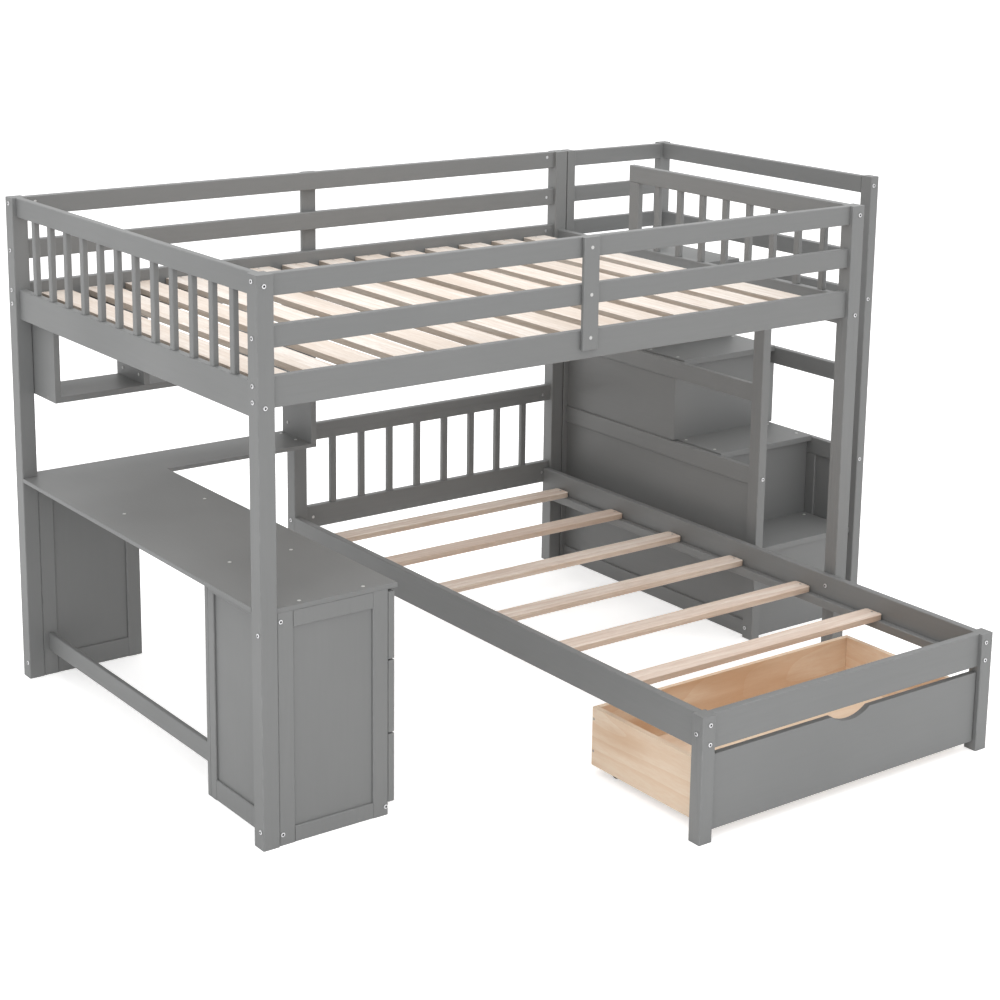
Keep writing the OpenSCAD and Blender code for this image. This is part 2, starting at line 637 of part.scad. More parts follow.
left_wall_x = tread_x0 - wall;
left_wall_len = tower_y1 - tower_y0;
seat_x = (wall - panel) / 2;
panel_y = riser_y(2) + board;
stile_front = riser_y(1) - wall_stile;
function rail_z(k) = levels(k) - rail_under - level_rail;
// rails beside the treads, one wall at a time, grooved where a panel meets them
module level_rails(x, len) {
    seat = x + seat_x - fit / 2;
    along_y([x, tower_y0, platform_rail_z], [wall, len, platform_rail]);
    difference() {
        along_y([x, tower_y0, rail_z(2)], [wall, len, level_rail]);
        block([seat, panel_y, rail_z(2) - 1], [panel + fit, 2000, groove + 1]);
    }
    difference() {
        along_y([x, tower_y0, rail_z(1)], [wall, len, level_rail]);
        block([seat, panel_y, rail_z(1) + level_rail - groove], [panel + fit, 2000, groove + 1]);
        block([seat, 0, rail_z(1) - 1], [panel + fit, 2000, groove + 1]);
    }
    difference() {
        along_y([x, tower_y0, 0], [wall, len, plinth]);
        block([seat, 0, plinth - groove], [panel + fit, 2000, groove + 1]);
    }
}
module outer_stile() difference() {
    along_z([right_wall_x, stile_front, plinth + glue], [wall, wall_stile, rail_z(1) - plinth - 2 * glue]);
    for (y = [stile_front - 1, stile_front + wall_stile - groove])
        block([right_wall_x + seat_x - fit / 2, y, plinth - 1], [panel + fit, groove + 1, stair_rise * 2]);
}
module stair_side_rails() color(grey) place() difference() {
    union() {
        level_rails(left_wall_x, left_wall_len);
        level_rails(right_wall_x, right_wall_len);
        outer_stile();
    }
    joinery(stair_front_joints);
}
// a panel from y0 to y1 between the rail under it and the rail over it
module wall_panel(x, y0, y1, low, high)
    block([x + seat_x, y0, low - groove + fit], [panel, y1 - y0, high - low + 2 * (groove - fit)]);
module stair_side_panels() color(grey) place() {
    left_end = tower_y0 + left_wall_len - fit;
    right_end = tower_y0 + right_wall_len - fit;
    wall_panel(left_wall_x, tower_y0 + fit, left_end, plinth, rail_z(1));
    wall_panel(left_wall_x, panel_y + fit, left_end, rail_z(1) + level_rail, rail_z(2));
    wall_panel(right_wall_x, tower_y0 + fit, stile_front + groove - fit, plinth, rail_z(1));
    wall_panel(right_wall_x, stile_front + wall_stile - groove + fit, right_end, plinth, rail_z(1));
    wall_panel(right_wall_x, panel_y + fit, right_end, rail_z(1) + level_rail, rail_z(2));
}
tread_wide = tread_x1 - tread_x0;
module stair_treads() color(grey) place() for (k = [0:3]) {
    deep = k == 3 ? tower_y1 - nose(3) : stair_going + nosing + board;
    block([tread_x0, nose(k), levels(k) - board], [tread_wide, deep, board]);
}
module stair_risers() color(grey) place() difference() {
    union() {
        for (k = [0:3]) {
            low = k == 0 ? 0 : levels(k - 1);
            block([tread_x0, riser_y(k), low], [tread_wide, board, levels(k) - board - low]);
        }
        // the third riser closes the panels' front edges, between the walls' rails
        block([left_wall_x + ease, riser_y(2), levels(1)],
              [tread_wide + 2 * (wall - ease), board, rail_z(2) - levels(1) - fit]);
    }
    joinery(riser_joint);
}

// ---- fastenings ----
module assembly_bolts() color([0.75, 0.75, 0.76]) place() for (j = all_joints) bolt_at(j);
module barrel_nuts() color([0.75, 0.75, 0.76]) place() for (j = nut_joints) nut_shape(j, 0);

loft_post_front_left();
loft_post_front_right();
loft_post_rear_left();
loft_post_rear_right();
front_guard_rails();
rear_guard_rails();
guard_battens();
loft_side_rails();
left_end_rails();
left_end_spindles();
right_end_rails();
right_end_stile();
right_end_spindles();
loft_slat_cleats();
loft_slats();
lower_foot_posts();
lower_head_post();
lower_left_side_rail();
lower_right_side_rail();
lower_foot_rail();
headboard_rails();
headboard_spindles();
lower_slat_cleats();
lower_slats();
desk_top();
desk_cross_batten();
desk_leg_frame();
desk_leg_panel();
desk_stretcher();
pedestal_side_frames();
pedestal_side_panels();
pedestal_back_frame();
pedestal_back_panel();
pedestal_bottom();
drawer_runners();
hutch_end_boards();
hutch_shelves();
hutch_dividers();
desk_drawer_front_top();
desk_drawer_box_top();
desk_drawer_front_middle();
desk_drawer_box_middle();
desk_drawer_front_bottom();
desk_drawer_box_bottom();
rolling_drawer_front();
rolling_drawer_box();
caster_brackets();
caster_axles();
caster_wheels_front();
caster_wheels_rear();
stair_front_posts();
stair_rear_posts();
stair_rear_rails();
stair_guard_rails();
stair_side_rails();
stair_side_panels();
stair_treads();
stair_risers();
assembly_bolts();
barrel_nuts();
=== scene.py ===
"""Looks for the loft bed with desk: paint, pine, fastenings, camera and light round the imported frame."""
import math
import random
import bmesh
import bpy
from mathutils import Matrix, Quaternion, Vector


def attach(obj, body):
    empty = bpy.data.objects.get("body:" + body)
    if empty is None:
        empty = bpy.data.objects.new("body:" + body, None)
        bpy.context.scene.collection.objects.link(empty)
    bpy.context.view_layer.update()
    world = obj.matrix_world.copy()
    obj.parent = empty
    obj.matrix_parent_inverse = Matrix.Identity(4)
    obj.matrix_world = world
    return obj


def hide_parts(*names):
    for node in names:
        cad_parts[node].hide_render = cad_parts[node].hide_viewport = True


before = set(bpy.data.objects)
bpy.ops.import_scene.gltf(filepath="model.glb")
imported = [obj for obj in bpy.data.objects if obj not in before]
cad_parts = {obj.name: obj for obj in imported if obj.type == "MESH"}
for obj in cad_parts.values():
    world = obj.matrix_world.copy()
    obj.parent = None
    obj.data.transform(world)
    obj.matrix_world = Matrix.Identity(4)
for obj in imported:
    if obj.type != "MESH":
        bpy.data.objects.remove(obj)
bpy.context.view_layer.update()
MM = 0.001
SMOOTH_UNDER = 35      # degrees: faces that meet at less are shaded as one curve
SHARP_OVER = 40        # degrees: edges that turn by more are eased
AS_MADE = (1, 1, 1)    # a copy at its shape's own size


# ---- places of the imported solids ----
def solids_of(node):
    """The separate solids of a CAD node, from front to back, each as a list of its corners."""
    bm = bmesh.new()
    bm.from_mesh(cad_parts[node].data)
    bmesh.ops.remove_doubles(bm, verts=bm.verts, dist=1e-6)
    left, found = set(bm.verts), []
    while left:
        group, edge = [], [left.pop()]
        while edge:
            v = edge.pop()
            group.append(v.co.copy())
            for e in v.link_edges:
                other = e.other_vert(v)
                if other in left:
                    left.discard(other)
                    edge.append(other)
        found.append(group)
    bm.free()
    return sorted(found, key=lambda g: tuple(round(sum(c[i] for c in g) / len(g), 4) for i in (1, 0, 2)))


def corners(points):
    """The lowest and the highest corner of the box round some points."""
    low = Vector(min(p[i] for p in points) for i in range(3))
    high = Vector(max(p[i] for p in points) for i in range(3))
    return low, high


def boxes_of(node):
    """The box round each solid of a CAD node, from front to back."""
    return [corners(solid) for solid in solids_of(node)]


def by_low(node, axis):
    """The boxes of a CAD node in the order of their low corners along an axis."""
    return sorted(boxes_of(node), key=lambda box: box[0][axis])


def long_axis(span):
    """The axis that a slim solid runs along."""
    return max(range(3), key=lambda i: span[i])


# ---- mesh helpers ----
def as_object(bm, name):
    """A bmesh made into an object, shaded smooth except at its sharp edges."""
    bmesh.ops.recalc_face_normals(bm, faces=bm.faces)
    mesh = bpy.data.meshes.new(name)
    bm.to_mesh(mesh)
    bm.free()
    mesh.polygons.foreach_set("use_smooth", [True] * len(mesh.polygons))
    mesh.set_sharp_from_angle(angle=math.radians(SMOOTH_UNDER))
    obj = bpy.data.objects.new(name, mesh)
    bpy.context.scene.collection.objects.link(obj)
    return obj


def bake(obj):
    """Applies an object's modifiers and leaves a plain mesh."""
    ready = obj.evaluated_get(bpy.context.evaluated_depsgraph_get())
    mesh = bpy.data.meshes.new_from_object(ready)
    obj.modifiers.clear()
    obj.data = mesh
    return mesh


def rounds(*rings):
    """Round rings of a turned profile, each given as its radius and height."""
    return [("round", radius, height) for radius, height in rings]


def hexes(*rings):
    """Hexagonal rings of a key's hole, each given as its half width over the flats and its height."""
    return [("hex", radius, height) for radius, height in rings]


def ring_point(kind, radius, angle):
    """A point of a round or hexagonal ring."""
    if kind == "hex":
        radius /= math.cos((angle + math.pi / 6) % (math.pi / 3) - math.pi / 6)
    return radius * math.cos(angle), radius * math.sin(angle)


def lathe(name, rings, around=24, closed=False):
    """A turned solid from its rings in order; closed joins the last ring to the first.

    The attribute "hole" is 1 on a key's hole and 0 elsewhere.
    """
    bm = bmesh.new()
    loops = []
    for kind, radius, height in rings:
        spots = [ring_point(kind, radius * MM, math.tau * k / around) for k in range(around)]
        loops.append([bm.verts.new((x, y, height * MM)) for x, y in spots])
    pairs = list(zip(loops, loops[1:]))
    if closed:
        pairs.append((loops[-1], loops[0]))
    for low, high in pairs:
        for k in range(around):
            n = (k + 1) % around
            bm.faces.new((low[k], low[n], high[n], high[k]))
    if not closed:
        bm.faces.new(list(reversed(loops[0])))
        bm.faces.new(loops[-1])
    obj = as_object(bm, name)
    in_hole = [float(kind == "hex") for kind, _, _ in rings for _ in range(around)]
    obj.data.attributes.new("hole", "FLOAT", "POINT").data.foreach_set("value", in_hole)
    return obj


def rounded_board(name, size, ease, corner=0.0):
    """A board centred on the origin, with eased edges and, where corner is given, round corners in plan."""
    bm = bmesh.new()
    arc = 5        # steps in a round corner
    half = [v / 2 * MM for v in size]
    r = corner * MM
    outline = []
    for sx, sy, start in ((1, 1, 0), (-1, 1, 90), (-1, -1, 180), (1, -1, 270)):
        if corner:
            for k in range(arc + 1):
                a = math.radians(start + 90 * k / arc)
                outline.append((sx * (half[0] - r) + r * math.cos(a), sy * (half[1] - r) + r * math.sin(a)))
        else:
            outline.append((sx * half[0], sy * half[1]))
    low = [bm.verts.new((x, y, -half[2])) for x, y in outline]
    high = [bm.verts.new((x, y, half[2])) for x, y in outline]
    bm.faces.new(list(reversed(low)))
    bm.faces.new(high)
    for k in range(len(low)):
        n = (k + 1) % len(low)
        bm.faces.new((low[k], low[n], high[n], high[k]))
    bm.normal_update()
    sharp = [e for e in bm.edges if e.calc_face_angle() > math.radians(SHARP_OVER)]
    bmesh.ops.bevel(bm, geom=sharp, offset=ease * MM, segments=3, profile=0.6, affect="EDGES",
                    clamp_overlap=True)
    return as_object(bm, name)


def cut(obj, *cutters):
    """Takes the cutters out of obj and leaves a plain mesh."""
    for cutter in cutters:
        tool = obj.modifiers.new("cut", "BOOLEAN")
        tool.operation = "DIFFERENCE"
        tool.object = cutter
        tool.solver = "EXACT"
    bake(obj)
    for cutter in cutters:
        bpy.data.objects.remove(cutter)


# ---- copies of one shape, placed by Geometry Nodes ----
def copies_tree(name, count):
    """A tree that puts shape k on the carrier's points of kind k and gives each copy its own number."""
    tree = bpy.data.node_groups.new(name, "GeometryNodeTree")
    face = tree.interface
    face.new_socket("Spots", in_out="INPUT", socket_type="NodeSocketGeometry")
    for k in range(count):
        face.new_socket(f"Shape {k}", in_out="INPUT", socket_type="NodeSocketObject")
    face.new_socket("Finish", in_out="INPUT", socket_type="NodeSocketMaterial")
    face.new_socket("Seed", in_out="INPUT", socket_type="NodeSocketInt")
    face.new_socket("Pieces", in_out="OUTPUT", socket_type="NodeSocketGeometry")
    given = tree.nodes.new("NodeGroupInput").outputs
    out = tree.nodes.new("NodeGroupOutput")

    def own(attribute, kind):
        n = tree.nodes.new("GeometryNodeInputNamedAttribute")
        n.data_type = kind
        n.inputs["Name"].default_value = attribute
        return n.outputs["Attribute"]

    def link(*pairs):
        for start, end in pairs:
            tree.links.new(start, end)

    turn = tree.nodes.new("FunctionNodeEulerToRotation")
    link((own("turn", "FLOAT_VECTOR"), turn.inputs[0]))
    size, kind = own("size", "FLOAT_VECTOR"), own("kind", "INT")
    join = tree.nodes.new("GeometryNodeJoinGeometry")
    for k in range(count):
        shape = tree.nodes.new("GeometryNodeObjectInfo")
        same = tree.nodes.new("FunctionNodeCompare")
        same.data_type = "INT"
        same.operation = "EQUAL"
        same.inputs[3].default_value = k
        lay = tree.nodes.new("GeometryNodeInstanceOnPoints")
        link((given[f"Shape {k}"], shape.inputs["Object"]),
             (kind, same.inputs[2]),
             (given["Spots"], lay.inputs["Points"]),
             (same.outputs[0], lay.inputs["Selection"]),
             (shape.outputs["Geometry"], lay.inputs["Instance"]),
             (turn.outputs[0], lay.inputs["Rotation"]),
             (size, lay.inputs["Scale"]),
             (lay.outputs[0], join.inputs[0]))
    number = tree.nodes.new("FunctionNodeRandomValue")
    number.data_type = "FLOAT"
    mark = tree.nodes.new("GeometryNodeStoreNamedAttribute")
    mark.data_type = "FLOAT"
    mark.domain = "INSTANCE"
    mark.inputs["Name"].default_value = "board"
    real = tree.nodes.new("GeometryNodeRealizeInstances")
    finish = tree.nodes.new("GeometryNodeSetMaterial")
    link((given["Seed"], number.inputs["Seed"]),
         (join.outputs[0], mark.inputs["Geometry"]),
         (number.outputs["Value"], mark.inputs["Value"]),
         (mark.outputs[0], real.inputs[0]),
         (real.outputs[0], finish.inputs["Geometry"]),
         (given["Finish"], finish.inputs["Material"]),
         (finish.outputs[0], out.inputs[0]))
    return tree


def lay_out(name, shapes, spots, finish, body="bed", seed=1):
    """One plain mesh of copies. A spot is (which shape, place, turn as a rotation, size)."""
    kinds, places, rotations, sizes = zip(*spots)
    turns = [rotation.to_euler() for rotation in rotations]
    carrier = bpy.data.meshes.new(name)
    carrier.from_pydata([tuple(place) for place in places], [], [])
    carrier.attributes.new("kind", "INT", "POINT").data.foreach_set("value", kinds)
    for key, rows in (("turn", turns), ("size", sizes)):
        values = [v for row in rows for v in row]
        carrier.attributes.new(key, "FLOAT_VECTOR", "POINT").data.foreach_set("vector", values)
    obj = bpy.data.objects.new(name, carrier)
    bpy.context.scene.collection.objects.link(obj)
    tree = copies_tree(f"{name} copies", len(shapes))
    maker = obj.modifiers.new("copies", "NODES")
    maker.node_group = tree
    ids = {item.name: item.identifier for item in tree.interface.items_tree if item.in_out == "INPUT"}
    for k, shape in enumerate(shapes):
        maker[ids[f"Shape {k}"]] = shape
    maker[ids["Finish"]] = finish
    maker[ids["Seed"]] = seed
    mesh = bake(obj)
    for key in ("turn", "size", "kind"):
        if key in mesh.attributes:
            mesh.attributes.remove(mesh.attributes[key])
    for shape in shapes:
        bpy.data.objects.remove(shape)
    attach(obj, body)
    return obj


def facing(axis, sign=1, spin=0.0):
    """The turn that points a shape's +Z along an axis, after a spin round itself."""
    aim = Vector((0, 0, 0))
    aim[axis] = sign
    return Vector((0, 0, 1)).rotation_difference(aim) @ Quaternion((0, 0, 1), spin)


# ---- shader helpers ----
def shade(tone, factor):
    """A colour made darker or paler, and never past white."""
    return tuple(min(1.0, v * factor) for v in tone)


def new_material(name):
    m = bpy.data.materials.new(name)
    m.use_nodes = True
    tree = m.node_tree
    tree.nodes.clear()
    out = tree.nodes.new("ShaderNodeOutputMaterial")
    skin = tree.nodes.new("ShaderNodeBsdfPrincipled")
    tree.links.new(skin.outputs[0], out.inputs[0])
    return m, tree, skin


def put(tree, kind, settings=None, **inputs):
    """Adds a node. Its inputs go by name, or by number as i0, i1 and on.

    A value that is a socket is linked, and any other is set.
    """
    n = tree.nodes.new(kind)
    for key, value in (settings or {}).items():
        setattr(n, key, value)
    for key, value in inputs.items():
        numbered = key[0] == "i" and key[1:].isdigit()
        sock = n.inputs[int(key[1:]) if numbered else key.replace("_", " ")]
        if isinstance(value, bpy.types.NodeSocket):
            tree.links.new(value, sock)
        else:
            sock.default_value = value
    return n


def calc(tree, op, a, b=0.0, c=0.0):
    return put(tree, "ShaderNodeMath", {"operation": op}, i0=a, i1=b, i2=c).outputs[0]


def vector_calc(tree, op, a, b=(0, 0, 0)):
    return put(tree, "ShaderNodeVectorMath", {"operation": op}, i0=a, i1=b).outputs[0]


def vector(tree, x, y, z):
    return put(tree, "ShaderNodeCombineXYZ", None, i0=x, i1=y, i2=z).outputs[0]


def parts_of(tree, whole):
    return put(tree, "ShaderNodeSeparateXYZ", None, i0=whole).outputs


def noise(tree, place, scale, detail=2.0, rough=0.5):
    return put(tree, "ShaderNodeTexNoise", None, Vector=place, Scale=scale, Detail=detail,
               Roughness=rough).outputs[0]


def fade(tree, value, start, end, low, high):
    """Goes from low to high while a value goes from start to end, and stays level past them."""
    return put(tree, "ShaderNodeMapRange", None, Value=value, i1=start, i2=end, i3=low, i4=high).outputs[0]


def ramp(tree, factor, stops):
    """A colour ramp with its stops as (place, colour), from the lowest place to the highest."""
    n = put(tree, "ShaderNodeValToRGB", None, i0=factor)
    first, last = n.color_ramp.elements
    for end, (place, colour) in ((first, stops[0]), (last, stops[-1])):
        end.position = place
        end.color = (*colour, 1)
    for place, colour in stops[1:-1]:
        n.color_ramp.elements.new(place).color = (*colour, 1)
    return n.outputs[0]


def mix(tree, factor, a, b, blend="MIX"):
    n = put(tree, "ShaderNodeMix", {"data_type": "RGBA", "blend_type": blend})
    for sock, value in ((n.inputs[0], factor), (n.inputs[6], a), (n.inputs[7], b)):
        if isinstance(value, bpy.types.NodeSocket):
            tree.links.new(value, sock)
        else:
            sock.default_value = (*value, 1) if isinstance(value, tuple) else value
    return n.outputs[2]


def object_spot(tree):
    return put(tree, "ShaderNodeTexCoord").outputs["Object"]


def face_normal(tree):
    return put(tree, "ShaderNodeNewGeometry").outputs["True Normal"]


def own_mark(tree, attribute):
    """A piece's own attribute, and 0 on a piece that has none."""
    return put(tree, "ShaderNodeAttribute", {"attribute_name": attribute}).outputs["Fac"]


def along(tree, axis, stretch):
    """Object coordinates drawn out along the grain, moved on by each slat's own number."""
    shift = calc(tree, "MULTIPLY", own_mark(tree, "board"), 9.0)
    moved = vector_calc(tree, "ADD", object_spot(tree), vector(tree, shift, shift, shift))
    scale = [1.0, 1.0, 1.0]
    scale["XYZ".index(axis)] = stretch
    return put(tree, "ShaderNodeMapping", None, Vector=moved, Scale=scale).outputs[0]


def eased_edge(tree):
    """1 on the slanting faces that ease a stick's long edges, 0 on its flats."""
    x, y, z = parts_of(tree, vector_calc(tree, "ABSOLUTE", face_normal(tree)))
    most = calc(tree, "MAXIMUM", calc(tree, "MAXIMUM", x, y), z)
    return calc(tree, "LESS_THAN", most, 0.96)


def cover(tree, skin, colour, rough, tall, strength, deep):
    """Gives the shader its colour, its roughness and a fine relief, deep in millimetres."""
    tree.links.new(colour, skin.inputs["Base Color"])
    tree.links.new(rough, skin.inputs["Roughness"])
    relief = put(tree, "ShaderNodeBump", None, Strength=strength, Distance=deep * MM, Height=tall)
    tree.links.new(relief.outputs[0], skin.inputs["Normal"])


# ---- finishes ----
GREY = (0.198, 0.201, 0.200)
KNOT = (0.34, 0.19, 0.10)
SIDE_SHADE_TINT = (1.0, 0.95, 0.89)       # the tint of the painted shade on a slat's side faces


def paint(name, axis, tone, shows):
    """Satin grey paint sprayed on wood: the grain shows faintly through, and the eased edges are paler with
    a painted highlight that noise breaks up.
    """
    m, t, skin = new_material(name)
    grain = along(t, axis, 0.06)
    spot = object_spot(t)
    fibre = noise(t, grain, 110.0, 5.0, 0.62)
    band = noise(t, grain, 22.0, 3.0)
    pores = noise(t, grain, 420.0)
    cloud = noise(t, spot, 1.7, 3.0)
    peel = noise(t, spot, 650.0)
    base = ramp(t, fibre, [(0.28, shade(tone, 1 - 0.05 * shows)),
                           (0.5, tone),
                           (0.74, shade(tone, 1 + 0.04 * shows))])
    base = mix(t, fade(t, band, 0.35, 0.7, 0.0, 0.5 * shows), base, shade(tone, 0.95))
    base = mix(t, fade(t, pores, 0.64, 0.78, 0.0, 0.3 * shows), base, shade(tone, 0.82))
    base = mix(t, fade(t, cloud, 0.35, 0.7, 0.0, 0.3), base, shade(tone, 0.93))
    # painted highlight: the eased edges are made paler in a line that noise breaks up
    edge_highlight = fade(t, noise(t, spot, 34.0, 4.0), 0.42, 0.72, 0.05, 0.5)
    base = mix(t, calc(t, "MULTIPLY", eased_edge(t), edge_highlight), base, shade(tone, 1.4))
    tall = calc(t, "ADD", calc(t, "MULTIPLY", fibre, 0.55), calc(t, "MULTIPLY", peel, 0.25))
    tall = calc(t, "SUBTRACT", tall, calc(t, "MULTIPLY", pores, 0.2))
    cover(t, skin, base, fade(t, cloud, 0.3, 0.7, 0.40, 0.54), tall, 0.25, 0.6)
    skin.inputs["Specular IOR Level"].default_value = 0.4
    return m


def pine(name, axis, pale, warm, knots_over, side_shade):
    """Planed pine: streaks of growth rings, fine fibres, knots, and side faces darkened by painted shade, as
    the gaps between slats would shade them.

    A knot stands in the cells whose own number is over knots_over.
    """
    m, t, skin = new_material(name)
    grain = along(t, axis, 0.09)
    cell = put(t, "ShaderNodeTexVoronoi", {"feature": "F1"}, Vector=grain, Scale=6.0, Randomness=1.0)
    near = calc(t, "SMOOTH_MIN", cell.outputs["Distance"], 0.35, 0.1)
    bend = calc(t, "MULTIPLY", calc(t, "SUBTRACT", 0.35, near), 0.09)
    drift = calc(t, "MULTIPLY", noise(t, grain, 4.0), 0.11)
    flow = vector_calc(t, "ADD", grain, vector(t, drift, bend, drift))
    ringed = {"wave_type": "RINGS", "rings_direction": axis, "wave_profile": "SAW"}
    rings = put(t, "ShaderNodeTexWave", ringed, Vector=flow, Scale=20.0, Distortion=2.4, Detail=3.0,
                Detail_Scale=1.3).outputs["Fac"]
    streak = noise(t, grain, 42.0, 4.0, 0.6)
    fibre = noise(t, grain, 300.0, 4.0, 0.65)
    smear = noise(t, grain, 9.0, 3.0, 0.55)
    late = calc(t, "POWER", rings, 2.2)
    base = mix(t, calc(t, "MULTIPLY", late, 0.55), pale, warm)
    base = mix(t, fade(t, smear, 0.5, 0.72, 0.0, 0.7), base, shade(warm, 0.82))
    base = mix(t, fade(t, streak, 0.42, 0.72, 0.0, 0.8), base, warm)
    base = mix(t, fade(t, fibre, 0.4, 0.75, 0.0, 0.45), base, shade(warm, 0.72))
    base = mix(t, fade(t, own_mark(t, "board"), 0.0, 1.0, 0.0, 0.45), base, warm)
    cell_number = put(t, "ShaderNodeSeparateColor", None, i0=cell.outputs["Color"]).outputs[0]
    knotted = put(t, "ShaderNodeMapRange", {"interpolation_type": "SMOOTHSTEP"},
                  Value=cell.outputs["Distance"], i1=0.07, i2=0.02, i3=0.0, i4=0.7).outputs[0]
    knotted = calc(t, "MULTIPLY", calc(t, "GREATER_THAN", cell_number, knots_over), knotted)
    base = mix(t, knotted, base, KNOT)
    # painted shade: every face that looks sideways is made darker and warmer
    up = parts_of(t, face_normal(t))[2]
    side = calc(t, "LESS_THAN", calc(t, "ABSOLUTE", up), 0.5)
    base = mix(t, side, base, shade(SIDE_SHADE_TINT, side_shade), "MULTIPLY")
    tall = calc(t, "ADD", calc(t, "MULTIPLY", fibre, 0.6), calc(t, "MULTIPLY", late, 0.4))
    cover(t, skin, base, fade(t, fibre, 0.0, 1.0, 0.55, 0.72), tall, 0.3, 0.6)
    skin.inputs["Specular IOR Level"].default_value = 0.3
    return m


def plywood(name, pale, warm):
    """Sanded plywood, its grain along each wall: broad arched figure, soft smoky patches, and faces that
    look up painted paler as painted light from above.
    """
    m, t, skin = new_material(name)
    across, _, up = parts_of(t, face_normal(t))
    crossways = calc(t, "GREATER_THAN", calc(t, "ABSOLUTE", across), 0.5)
    drawn = mix(t, crossways, (0.15, 1.0, 1.0), (1.0, 0.15, 1.0))
    grain = vector_calc(t, "MULTIPLY", object_spot(t), drawn)
    hill = noise(t, grain, 5.0, 1.5, 0.4)
    arch = calc(t, "POWER", calc(t, "FRACT", calc(t, "MULTIPLY", hill, 11.0)), 2.0)
    fibre = noise(t, grain, 170.0, 4.0, 0.6)
    patch = noise(t, grain, 9.0, 2.5, 0.55)
    base = mix(t, calc(t, "MULTIPLY", arch, 0.35), pale, warm)
    base = mix(t, fade(t, fibre, 0.35, 0.75, 0.0, 0.3), base, warm)
    base = mix(t, fade(t, patch, 0.48, 0.62, 0.0, 0.65), base, shade(warm, 0.9))
    # painted light: every face that looks up, the top edges and the bottom panel alike, is made paler
    base = mix(t, calc(t, "MULTIPLY", calc(t, "GREATER_THAN", up, 0.6), 0.6), base, shade(pale, 1.1))
    cover(t, skin, base, fade(t, fibre, 0.0, 1.0, 0.5, 0.66), fibre, 0.15, 0.4)
    skin.inputs["Specular IOR Level"].default_value = 0.3
    return m


def metal(name, tone, rough):
    """Zinc-plated steel with a turned, slightly clouded face; a key's hole is painted near black as painted
    shade.
    """
    m, t, skin = new_material(name)
    spot = object_spot(t)
    cloud = noise(t, spot, 160.0, 3.0)
    lines = noise(t, spot, 2400.0)
    hole = calc(t, "GREATER_THAN", own_mark(t, "hole"), 0.97)
    face = mix(t, cloud, shade(tone, 0.85), shade(tone, 1.1))
    # painted shade: the key's hole is made near black
    colour = mix(t, hole, face, shade(tone, 0.12))
    cover(t, skin, colour, fade(t, lines, 0.0, 1.0, rough * 0.8, rough * 1.25), lines, 0.1, 0.1)
    skin.inputs["Metallic"].default_value = 1.0
    return m


def plastic(name, tone, rough, scuff=1.5):
    """Moulded plastic, smeared a little paler where it is handled."""
    m, t, skin = new_material(name)
    spot = object_spot(t)
    grit = noise(t, spot, 900.0, 3.0)
    smear = noise(t, spot, 60.0, 4.0)
    colour = mix(t, calc(t, "MULTIPLY", smear, 0.4), tone, shade(tone, scuff))
    cover(t, skin, colour, fade(t, smear, 0.0, 1.0, rough * 0.85, rough * 1.2), grit, 0.15, 0.2)
    return m


PAINT = {axis: paint(f"grey paint along {axis}", axis, GREY, 0.7) for axis in "XYZ"}
BOARD = {axis: paint(f"grey board along {axis}", axis, shade(GREY, 0.97), 0.35) for axis in "XYZ"}
# the last number of each is how dark the painted shade on the slats' side faces is
SLAT_PINE = pine("pale pine slats", "Y", (0.86, 0.81, 0.76), (0.66, 0.55, 0.46), 0.72, 0.60)
LOW_PINE = pine("rosy pine slats", "X", (0.90, 0.81, 0.73), (0.68, 0.52, 0.42), 0.66, 0.84)
BOX_PLY = plywood("drawer plywood", (0.85, 0.70, 0.55), (0.70, 0.44, 0.26))
ZINC = metal("zinc plate", (0.66, 0.66, 0.67), 0.32)
SCREW = metal("dull screw steel", (0.34, 0.33, 0.32), 0.42)
CAP = plastic("light cover caps", (0.55, 0.55, 0.54), 0.35, 1.1)
BLACK = plastic("caster plastic", (0.025, 0.025, 0.027), 0.45)


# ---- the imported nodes, dressed ----
# Painted nodes, by the axis that their grain runs along.
RUNS = {
    "X": """front_guard_rails rear_guard_rails loft_side_rails loft_slat_cleats lower_foot_rail
         headboard_rails desk_cross_batten hutch_shelves stair_rear_rails rolling_drawer_front
         stair_treads stair_risers""",
    "Y": """left_end_rails right_end_rails lower_left_side_rail lower_right_side_rail lower_slat_cleats
         desk_top desk_stretcher pedestal_bottom desk_drawer_front_top desk_drawer_front_middle
         desk_drawer_front_bottom stair_guard_rails stair_side_rails stair_side_panels""",
    "Z": """loft_post_front_left loft_post_front_right loft_post_rear_left loft_post_rear_right guard_battens
         left_end_spindles right_end_stile right_end_spindles lower_foot_posts lower_head_post
         headboard_spindles desk_leg_frame desk_leg_panel pedestal_side_frames pedestal_side_panels
         pedestal_back_frame pedestal_back_panel hutch_end_boards hutch_dividers stair_front_posts
         stair_rear_posts""",
}
# Those of them that are flat boards, through whose paint less grain shows.
FLAT_BOARDS = """desk_top hutch_shelves hutch_end_boards hutch_dividers stair_treads stair_risers
              stair_side_panels desk_leg_panel pedestal_side_panels pedestal_back_panel pedestal_bottom
              rolling_drawer_front desk_drawer_front_top desk_drawer_front_middle
              desk_drawer_front_bottom""".split()
PLYWOOD = """desk_drawer_box_top desk_drawer_box_middle desk_drawer_box_bottom rolling_drawer_box
          drawer_runners""".split()
STEEL = ("caster_brackets", "caster_axles")
PAINTED_EASE, PLYWOOD_EASE, STEEL_EASE = 0.9, 1.2, 0.3     # how wide their edges are rounded


